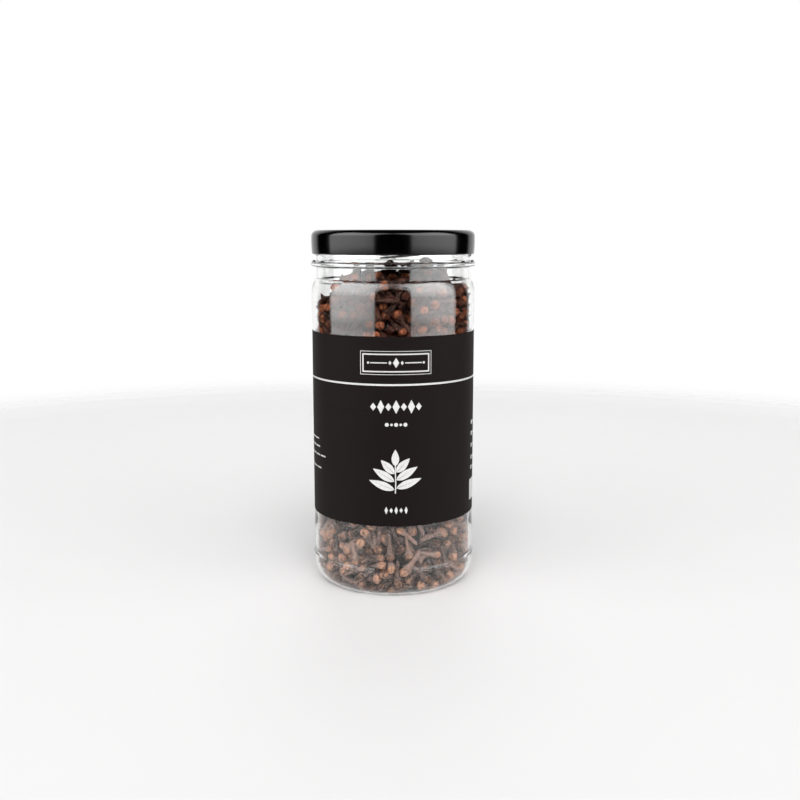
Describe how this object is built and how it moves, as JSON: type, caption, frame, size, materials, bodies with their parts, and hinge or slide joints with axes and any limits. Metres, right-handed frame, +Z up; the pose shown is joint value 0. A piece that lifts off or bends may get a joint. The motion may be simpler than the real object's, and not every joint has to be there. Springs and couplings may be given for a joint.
{
  "type": "jar of whole cloves",
  "caption": "Tall clear plastic jar filled with whole cloves, shut by a low glossy black metal twist-off lid, with a plain black wrap label round its middle.",
  "frame": {"origin": "centre of the foot ring, on the surface that the jar stands on", "axes": "+Z up along the jar's axis, -Y towards the front of the label, +X to the right seen from the front"},
  "size_m": [0.065, 0.065, 0.1414],
  "materials": {
    "jar": "clear, glossy blow-moulded plastic",
    "lid": "glossy black lacquer",
    "label": "satin warm black film",
    "cloves": "dry, matte, rough"
  },
  "bodies": {
    "root": {"jar": "jar", "lid": "lid", "label": "label", "cloves": "cloves"}
  },
  "joints": []
}
